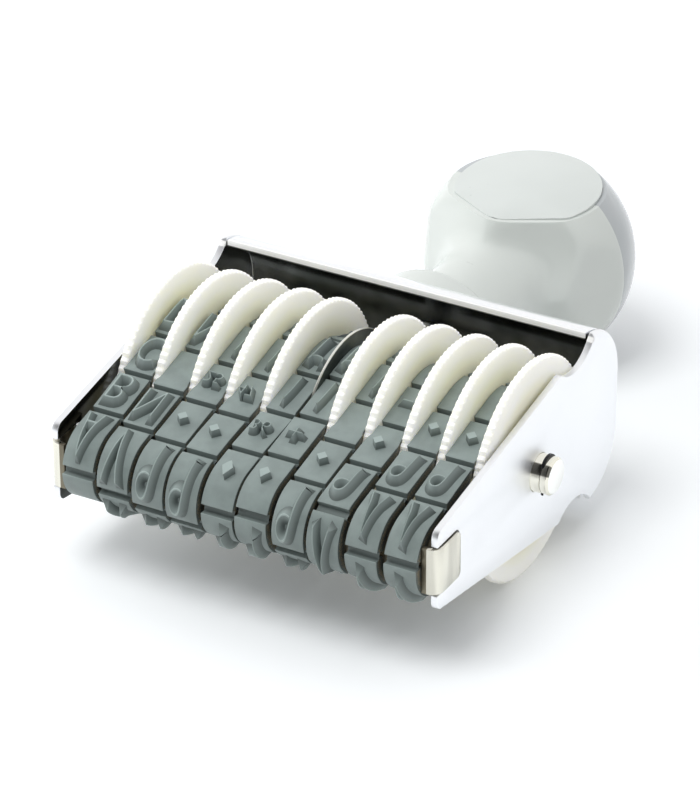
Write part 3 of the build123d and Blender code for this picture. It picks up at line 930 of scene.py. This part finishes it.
def raised_character(text, rise):
    """A character lying flat, X across it, Y up it and Z out of its block, with sloping walls."""
    letter = started(bpy.ops.object.text_add).data
    letter.body = text
    letter.resolution_u = 4
    letter.offset = STROKE_THIN
    letter.bevel_depth = STROKE_DRAFT
    letter.bevel_resolution = 0
    bpy.ops.object.convert(target="MESH")
    piece = bpy.context.object
    low, high = (Vector(corner) for corner in (piece.bound_box[0], piece.bound_box[6]))
    size, middle = high - low, (low + high) / 2
    width, height = GLYPH_WIDTH, GLYPH_HEIGHT
    if text in "+-" or len(text) > 1:
        width = GLYPH_WIDTH * SMALL_WIDTH
        height = GLYPH_HEIGHT * SMALL_HEIGHT * (DASH_HEIGHT if text == "-" else 1.0)
    elif text == DIGITS[1]:
        width = GLYPH_WIDTH * ONE_WIDTH
    grow = Matrix.Diagonal((width / size.x, height / size.y, rise / high.z, 1.0))
    set_by(piece, grow @ Matrix.Translation((-middle.x, -middle.y, 0)))
    with editing(piece):
        bpy.ops.mesh.remove_doubles(threshold=0.003)
        cut((0, 0, 0), (0, 0, 1), fill=True, drop="inner")
    return piece


def raised_nought(rise):
    """The nought: a small tapered block set cornerwise."""
    piece = started(bpy.ops.mesh.primitive_cube_add, size=1.0, location=(0, 0, 0.5))
    with editing(piece):
        choose("faces", lambda face: face.normal.z > FACING)
        bpy.ops.transform.resize(value=(NOUGHT_TAPER, NOUGHT_TAPER, 1))
    grow = Matrix.Diagonal((NOUGHT_EDGE, NOUGHT_EDGE, NOUGHT_RISE * rise, 1.0))
    return set_by(piece, Matrix.Rotation(pi / 4, 4, "Z") @ grow)


def character_set(rise):
    """Each character once, as it lies on the flat strip: mirrored, its foot away from the nose."""
    onto_strip = Matrix(((0, -1, 0, 0), (0, 0, 1, BLOCK_TOP - FOOT), (1, 0, 0, 0), (0, 0, 0, 1)))
    wanted = sorted({text for band in range(len(BANDS)) for text in characters(band) if text})
    made = {}
    for text in wanted:
        piece = raised_nought(rise) if text == DIGITS[0] else raised_character(text, rise)
        set_by(piece, onto_strip)
        with editing(piece):
            for step in range(-BEND_CUTS, BEND_CUTS + 1):
                cut((step * BEND_STEP, 0, 0), (1, 0, 0))
            tidy_mesh(0.002)
        made[text] = piece
    return made


# ---------------------------------------------------------------- wheels
def wheel_disc(teeth, depth):
    """A wheel in the stamp's middle: its disc with a serrated rim, and its hub towards +X."""
    hub, web = HUB_RADIUS - HUB_CLEAR, WHEEL_WEB / 2
    hub_side = [(WHEEL_HUB_END, WHEEL_BORE), (WHEEL_HUB_END, hub - HUB_CHAMFER)]
    hub_side += [(WHEEL_HUB_END - HUB_CHAMFER, hub), (web, hub)]
    flank = [*FLANK, *((along, radius) for along, radius, _ in RIM)]
    far_flank = [(-along, radius) for along, radius in reversed(flank)]
    wheel = turned([*hub_side, *flank, (0, WHEEL_RADIUS), *far_flank, (-web, WHEEL_BORE)], 2 * teeth)

    def valley(vert, radius):
        step = round(degrees(atan2(vert.co.z, vert.co.y)) * teeth / 180)
        return abs(vert.co.yz.length - radius) < 0.01 and step % 2 == 1

    with editing(wheel, "VERT"):
        for _, radius, share in (*RIM, (0, WHEEL_RADIUS, 1.0)):
            shrink = 1 - share * depth / radius
            choose("verts", lambda vert: valley(vert, radius))
            bpy.ops.transform.resize(value=(1, shrink, shrink), center_override=(0, 0, 0))
    return wheel


# ---------------------------------------------------------------- axle and clips
def axle_pin():
    """The axle, with blunt ends and a fine groove outside each side plate."""
    low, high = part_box("axle")
    end = (high - low).x / MM / 2
    half = [(end, 0.0), (end, AXLE_RADIUS - AXLE_END), (end - AXLE_END, AXLE_RADIUS)]
    half += [(SIDE_FACE + CLIP_MIDDLE + along, AXLE_RADIUS - depth) for along, depth in GROOVE]
    pin = turned(half + [(-along, radius) for along, radius in reversed(half)], 96)
    round_edges(pin, AXLE_ROUNDING, 25)
    return pin


def spring_clip(node):
    """A retaining clip, its back standing out of the axle's groove and its feet on the axle."""
    clip = merged_copy(node)

    def turn_of(vert):
        return degrees(atan2(vert.co.z, vert.co.y))

    def outside(vert):
        return vert.co.yz.length > AXLE_RADIUS - 0.1

    with editing(clip, "VERT"):
        for turn in {round(turn_of(vert), 1) for vert in clip.data.vertices if outside(vert)}:
            away = abs(90 - turn) if turn > -90 else abs(-270 - turn)
            standout = (CLIP_STANDOUT + CLIP_TUCK) * max(0.0, 1 - (away / CLIP_BACK) ** 2)
            reach = AXLE_RADIUS - CLIP_TUCK + standout
            if away > CLIP_FEET:
                reach = AXLE_RADIUS + CLIP_FOOT
            choose("verts", lambda vert: outside(vert) and abs(turn_of(vert) - turn) < 0.06)
            shape = bmesh.from_edit_mesh(clip.data)
            shown = [vert.co.yz.length for vert in shape.verts if vert.select]
            if shown:
                grow = reach / (sum(shown) / len(shown))
                bpy.ops.transform.resize(value=(1, grow, grow), center_override=(0, 0, 0))
    round_edges(clip, CLIP_ROUNDING, 60, clamp=False)
    return clip


# ---------------------------------------------------------------- knob
def trim(turn, distance, lean=0.0):
    """In edit mode, cuts a flat at a distance from the knob's centre, facing as a turn and a lean say."""
    turning = Matrix.Rotation(radians(turn), 3, "Z")
    facing = turning @ Matrix.Rotation(radians(lean), 3, "X") @ Vector((0, -1, 0))
    cut(KNOB_CENTRE + distance * facing, facing, fill=True, drop="outer")


def faceted_ball():
    """The knob's ball, with its flats for the fingers."""
    ball = started(bpy.ops.mesh.primitive_uv_sphere_add, segments=128, ring_count=64, radius=KNOB_RADIUS,
                   location=KNOB_CENTRE)
    set_by(ball, Matrix.Identity(4))
    with editing(ball):
        for turn, distance, tilt in FACETS:
            for side in (-1, 1):
                for lean in (-tilt, tilt):
                    trim(side * turn, distance, lean)
    return ball


def neck_and_collar():
    """The collar, the neck, and its flare into the ball, as one turned solid."""
    profile = [(COLLAR_FOOT, 0.0), (COLLAR_FOOT, COLLAR_RADIUS)]
    profile += arc(COLLAR_TOP - COLLAR_EDGE, COLLAR_RADIUS - COLLAR_EDGE, COLLAR_EDGE, 90, 0, 5)
    profile += [(COLLAR_TOP, NECK_RADIUS + NECK_FOOT)]
    profile += arc(COLLAR_TOP + NECK_FILLET, NECK_RADIUS + NECK_FILLET, NECK_FILLET, 200, 270, 6)
    profile += arc(FLARE_START, NECK_RADIUS + FLARE_RADIUS, FLARE_RADIUS, 270, 270 + FLARE_TURN, 12)
    profile += [(KNOB_REACH, profile[-1][1]), (KNOB_REACH, 0.0)]
    return turned(profile, 96, "Y")


def soften(knob, passes):
    """Blends the flare into the ball, then softens all that lies past the collar."""
    weigh(knob, "blend", lambda place: max(0.0, 1 - abs(place.y - BLEND_MIDDLE) / BLEND_RUN))
    modify(knob, "SMOOTH", factor=0.5, iterations=BLEND_PASSES, vertex_group="blend")
    weigh(knob, "free", lambda place: 1.0 if place.y > SMOOTH_FROM else 0.0)
    modify(knob, "SMOOTH", factor=0.5, iterations=passes, vertex_group="free")


def trough_block():
    """The room that the frame's rounded back takes up."""
    block = started(bpy.ops.mesh.primitive_cube_add, size=1.0, location=(0, TROUGH_REACH / 2, 0))
    block.scale = (2 * TROUGH_HALF_WIDTH, TROUGH_REACH, 2 * TROUGH_HALF_HEIGHT)
    set_by(block, Matrix.Identity(4))
    with editing(block, "EDGE"):
        choose("edges", lambda edge: all(vert.co.y > TROUGH_REACH - 0.01 for vert in edge.verts)
               and abs(edge.verts[0].co.z - edge.verts[1].co.z) < 0.01)
        bpy.ops.mesh.bevel(offset=TROUGH_CORNER, segments=32, affect="EDGES")
    return block


def label_disc():
    """The bare label: a disc drawn in across its waist and cut by its chords."""
    outline = [(LABEL_SEAT, 0), (LABEL_SEAT, LABEL_RADIUS), (LABEL_TOP, LABEL_RADIUS), (LABEL_TOP, 0)]
    label = turned(outline, 128)
    across = Vector((cos(radians(FACETS[0][0])), sin(radians(FACETS[0][0])), 0))
    middle = Matrix.Translation(KNOB_CENTRE + LABEL_ASIDE * across)
    set_by(label, middle @ Matrix.Scale(LABEL_WAIST, 4, across) @ Matrix.Rotation(-pi / 2, 4, "Y"))
    with editing(label):
        for turn, distance in LABEL_CHORDS:
            for side in (-1, 1):
                trim(side * turn, distance)
    round_edges(label, LABEL_ROUNDING, 60, segments=3)
    return label


# ---------------------------------------------------------------- operators: one for each group of pieces
class STAMP_OT_bands(bpy.types.Operator):
    """Rubber bands: one pitch is modelled flat, repeated, and bent round nose and hub"""

    bl_idname = "stamp.bands"
    bl_label = "Rubber bands"

    def execute(self, context):
        settings = context.scene.stamp_bands
        rubber = type_rubber(settings.rubber, settings.ply)
        loop = loop_curve()
        pitch = loop.data.splines[0].calc_length() / TYPE_BLOCKS
        strip = flat_band(pitch, settings.block_bevel / MM)
        alphabet = character_set(settings.character_rise / MM)
        for index, (node, shift, drift) in enumerate(zip(BANDS, BAND_SHIFTS, BAND_DRIFTS)):
            middle = band_middle(node)
            band = set_by(twin(strip), Matrix.Translation((shift, 0, 0)))
            bend_round(band, loop, middle)
            loosen(band, middle, drift)
            with editing(band):
                tidy_mesh(0.02)
            settle(band, node + "_rubber", STAMP, node, rubber, crease=32.0)
            letters = joined([
                set_by(twin(alphabet[text]), Matrix.Translation((shift + block * pitch, 0, 0)))
                for block, text in enumerate(characters(index)) if text
            ])
            mark_loop(letters)
            bend_round(letters, loop, middle)
            pull_aside(letters, drift, lambda place: past_wheels(place, DRIFT_RUN))
            settle(letters, node + "_type", STAMP, node, rubber, crease=20.0, replaced=False)
        for spare in (loop, strip, *alphabet.values()):
            drop(spare)
        return {"FINISHED"}


class STAMP_OT_wheels(bpy.types.Operator):
    """Thumb wheels: a thin disc with a fine serrated rim and a hub, turned about the axle"""

    bl_idname = "stamp.wheels"
    bl_label = "Thumb wheels"

    def execute(self, context):
        settings = context.scene.stamp_wheels
        ivory = wheel_ivory(settings.plastic)
        wheel = wheel_disc(settings.teeth, settings.tooth_depth / MM)
        for index, node in enumerate(BANDS):
            side = -1 if index < BANDS_PER_SIDE else 1
            turn = Matrix.Rotation(pi if side > 0 else 0, 4, "Z")
            place = Matrix.Translation((band_middle(node) + side * WHEEL_SIDE, 0, 0))
            wheel_node = node.replace("band", "wheel")
            one = set_by(twin(wheel), place @ turn)
            settle(one, wheel_node + "_disc", wheel_node, wheel_node, ivory, crease=28.0)
        drop(wheel)
        return {"FINISHED"}


class STAMP_OT_frame(bpy.types.Operator):
    """Chromed frame: the bent sheet with its edges rounded off"""

    bl_idname = "stamp.frame"
    bl_label = "Chromed frame"

    def execute(self, context):
        settings = context.scene.stamp_sheet
        plating = chrome(settings.chrome, settings.satin)
        dress("frame", "frame_shell", plating, settings.edge_rounding / MM, 50, segments=3)
        return {"FINISHED"}


class STAMP_OT_inner_metal(bpy.types.Operator):
    """Print bridge, divider, axle and clips, with their sheet edges broken"""

    bl_idname = "stamp.inner_metal"
    bl_label = "Bridge, axle and clips"

    def execute(self, context):
        plating = context.scene.stamp_sheet.nickel
        dress("print_bridge", "print_bridge_dressed", nickel(plating), BRIDGE_ROUNDING)
        dress("divider_plate", "divider_plate_dressed", dull_steel(), DIVIDER_ROUNDING)
        settle(axle_pin(), "axle_dressed", STAMP, "axle", turned_steel(plating), crease=24.0)
        spring = blackened_spring()
        for node in ("retaining_clip_left", "retaining_clip_right"):
            settle(spring_clip(node), node + "_dressed", STAMP, node, spring)
        return {"FINISHED"}


class STAMP_OT_knob(bpy.types.Operator):
    """Knob: a ball with soft finger flats on a flared neck and collar, its palm cap, and the label"""

    bl_idname = "stamp.knob"
    bl_label = "Knob"

    def execute(self, context):
        settings = context.scene.stamp_knob
        knob = joined([faceted_ball(), neck_and_collar()])
        modify(knob, "REMESH", mode="VOXEL", voxel_size=VOXEL)
        soften(knob, settings.softness)
        with editing(knob):
            cut((0, 0, LABEL_SEAT), (0, 0, 1), fill=True, drop="outer")
        block = trough_block()
        modify(knob, "BOOLEAN", operation="DIFFERENCE", object=block)
        drop(block)
        palm = twin(knob)
        for half, past_seam in ((palm, "inner"), (knob, "outer")):
            with editing(half):
                cut((0, KNOB_SEAM, 0), (0, 1, 0), fill=True, drop=past_seam)
            round_edges(half, SEAM_ROUNDING, 45)
        front_gloss = knob_gloss("knob_front_gloss", settings.front)
        palm_gloss = knob_gloss("knob_palm_gloss", settings.palm)
        label_gloss = knob_gloss("label_gloss", settings.label)
        settle(knob, "knob_front", STAMP, "handle_body", front_gloss, crease=40.0)
        settle(palm, "knob_palm", STAMP, "palm_cap", palm_gloss, crease=40.0)
        settle(label_disc(), "label_inlay", STAMP, "label_plate", label_gloss, crease=25.0)
        return {"FINISHED"}


class STAMP_OT_fixing(bpy.types.Operator):
    """Screw and washer that hold the knob"""

    bl_idname = "stamp.fixing"
    bl_label = "Screw and washer"

    def execute(self, context):
        plating = zinc()
        for node in ("handle_screw", "handle_washer"):
            dress(node, node + "_zinc", plating, SCREW_ROUNDING)
        return {"FINISHED"}


# ---------------------------------------------------------------- stage
CAMERA_TURN = 29.059
CAMERA_DROP = 30.091
CAMERA_ROLL = -0.238
CAMERA_RANGE = 760.6
CAMERA_ASIDE = 0.4245
CAMERA_ABOVE = 3.139
FOCAL_SHARE = 5.8324
SENSOR = 36.0


def add_camera():
    """Camera at the viewing place, level with the stamp apart from a trace of roll."""
    turn, drop_angle, roll = radians(CAMERA_TURN), radians(CAMERA_DROP), radians(CAMERA_ROLL)
    level = Vector((-sin(turn), cos(turn), 0))
    forward = cos(drop_angle) * level - sin(drop_angle) * Vector((0, 0, 1))
    right = Vector((cos(turn), sin(turn), 0))
    up = right.cross(forward)
    right, up = cos(roll) * right + sin(roll) * up, cos(roll) * up - sin(roll) * right
    place = AXLE + MM * (CAMERA_ASIDE * right + CAMERA_ABOVE * up - CAMERA_RANGE * forward)
    camera = bpy.data.objects.new("camera", bpy.data.cameras.new("camera"))
    camera.data.sensor_width = SENSOR
    camera.data.lens = FOCAL_SHARE * SENSOR
    camera.data.clip_start = MM
    camera.matrix_world = Matrix.Translation(place) @ Matrix((right, up, -forward)).transposed().to_4x4()
    bpy.context.scene.collection.objects.link(camera)
    bpy.context.scene.camera = camera


# the tent's opening: its direction, its half width and soft edge in degrees, and its tone in mirrors
OPENING = Vector((0.0, -0.83, 0.55)).normalized()
OPENING_SPREAD = 45.0
OPENING_EDGE = 4.0
OPENING_TONE = 0.06
# light on what doesn't mirror: from full at one angle off the opening to a share of it at the other
DIMMING = (75.0, 25.0)
DIMMED = 0.3


def add_sky(strength):
    """White tent all round, with the dark opening of its front in what metal and gloss mirror."""
    world = bpy.data.worlds.new("studio")
    bpy.context.scene.world = world
    sky = Finish(world)
    backdrop = sky.tree.nodes["Background"]
    backdrop.inputs["Color"].default_value = (1, 1, 1, 1)
    direct = sky.node("LightPath", output="Is Camera Ray")
    mirrored = sky.node("LightPath", output="Is Glossy Ray")
    towards = sky.node("TexCoord", output="Generated")
    facing = sky.node("VectorMath", {"operation": "DOT_PRODUCT"}, {0: towards, 1: OPENING}, "Value")
    edges = (cos(radians(OPENING_SPREAD + OPENING_EDGE)), cos(radians(OPENING_SPREAD - OPENING_EDGE)))
    gloss = sky.ramp(facing, *edges, 1.0, OPENING_TONE)
    dull = sky.ramp(facing, *(cos(radians(angle)) for angle in DIMMING), strength, DIMMED * strength)
    light = mirrored * gloss + (1 - mirrored) * dull
    sky.plug(backdrop.inputs["Strength"], direct + (1 - direct) * light)


FLOOR_SIZE = 6.0
FLOOR_LIT = (0.8, 0.8, 0.8)
FLOOR_SEEN = (0.955, 0.98, 1.0)
# its glow to the eye: near and far tone, and from where to where it rises, m
GLOW_TONES = (0.1, 0.6)
GLOW_RUN = (0.3, 0.9)


def add_floor():
    """White floor, a little brighter to the eye and in mirrors than as a source of light."""
    floor = started(bpy.ops.mesh.primitive_plane_add, size=FLOOR_SIZE)
    floor.name = "floor"
    finish = painted("floor_white", FLOOR_LIT, 0.9, Emission_Strength=1.0, Specular_IOR_Level=0.0)
    direct = finish.node("LightPath", output="Is Camera Ray")
    seen = finish.math("MAXIMUM", direct, finish.node("LightPath", output="Is Glossy Ray"))
    finish.shade(Base_Color=finish.blend(seen, rgba(FLOOR_LIT), rgba(FLOOR_SEEN)))
    reach = finish.node("VectorMath", {"operation": "LENGTH"}, {0: finish.place()}, "Value")
    near, far = ((tone, tone, tone, 1) for tone in GLOW_TONES)
    glow = finish.blend(finish.ramp(reach, *GLOW_RUN), near, far)
    finish.shade(Emission_Color=finish.blend(seen, (0, 0, 0, 1), glow))
    floor.data.materials.append(finish.owner)


# the lamps: place, aim and size, m
KEY_LAMP = ((-0.15, -0.35, 0.85), (0, 0, 0), 0.5)
SIDE_LAMP = ((-0.9, -0.1, 0.25), (0, 0.03, 0.02), 0.8)


def add_lamp(name, place, aim, size, power):
    """Soft square lamp that mirrors don't show."""
    lamp = bpy.data.lights.new(name, "AREA")
    lamp.size = size
    lamp.energy = power
    thing = bpy.data.objects.new(name, lamp)
    thing.location = place
    thing.rotation_euler = (Vector(aim) - Vector(place)).to_track_quat("-Z", "Y").to_euler()
    thing.visible_glossy = False
    bpy.context.scene.collection.objects.link(thing)


class STAMP_OT_stage(bpy.types.Operator):
    """Camera, sky, white floor and two soft lamps"""

    bl_idname = "stamp.stage"
    bl_label = "Stage"

    def execute(self, context):
        settings = context.scene.stamp_studio
        add_camera()
        add_sky(settings.sky)
        add_floor()
        add_lamp("key", *KEY_LAMP, settings.key)
        add_lamp("side", *SIDE_LAMP, settings.side)
        context.scene.view_settings.view_transform = "Standard"
        return {"FINISHED"}


STEPS = (
    STAMP_OT_stage, STAMP_OT_bands, STAMP_OT_wheels, STAMP_OT_frame, STAMP_OT_inner_metal, STAMP_OT_knob,
    STAMP_OT_fixing,
)


class STAMP_PT_panel(bpy.types.Panel):
    """The stamp's settings and the steps that build it"""

    bl_idname = "STAMP_PT_panel"
    bl_label = "Numbering stamp"
    bl_space_type = "VIEW_3D"
    bl_region_type = "UI"
    bl_category = "Stamp"

    def draw(self, context):
        for name, group in SETTINGS.items():
            box = self.layout.box()
            for setting in group.__annotations__:
                box.prop(getattr(context.scene, name), setting)
        for step in STEPS:
            self.layout.operator(step.bl_idname)


def register():
    for kind in (*SETTINGS.values(), *STEPS, STAMP_PT_panel):
        bpy.utils.register_class(kind)
    for name, group in SETTINGS.items():
        setattr(bpy.types.Scene, name, PointerProperty(type=group))


def unregister():
    for name in SETTINGS:
        delattr(bpy.types.Scene, name)
    for kind in reversed((*SETTINGS.values(), *STEPS, STAMP_PT_panel)):
        bpy.utils.unregister_class(kind)


def main():
    register()
    bpy.ops.stamp.stage()
    bpy.ops.stamp.bands()
    bpy.ops.stamp.wheels()
    bpy.ops.stamp.frame()
    bpy.ops.stamp.inner_metal()
    bpy.ops.stamp.knob()
    bpy.ops.stamp.fixing()


if __name__ == "__main__":
    main()
